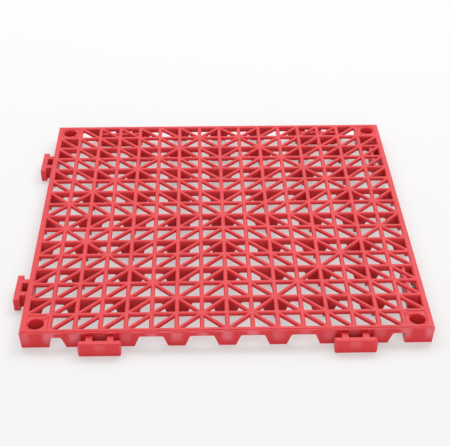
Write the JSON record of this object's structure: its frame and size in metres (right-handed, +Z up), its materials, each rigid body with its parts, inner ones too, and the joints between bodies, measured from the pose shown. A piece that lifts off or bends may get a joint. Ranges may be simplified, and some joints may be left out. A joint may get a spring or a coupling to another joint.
{
  "type": "interlocking deck tile",
  "caption": "Square moulded plastic floor tile with an open lattice top, drain channels between its legs, corner holes, and clips and pockets that join it to its neighbours.",
  "frame": {"origin": "centre of the square at floor level, without the clips", "axes": "+Z up; the clips are on the -X and -Y sides and the pockets on the +X and +Y sides"},
  "size_m": [0.31, 0.31, 0.0145],
  "materials": {
    "red_plastic": "satin"
  },
  "bodies": {
    "root": {"deck_tile": "red_plastic"}
  },
  "joints": []
}
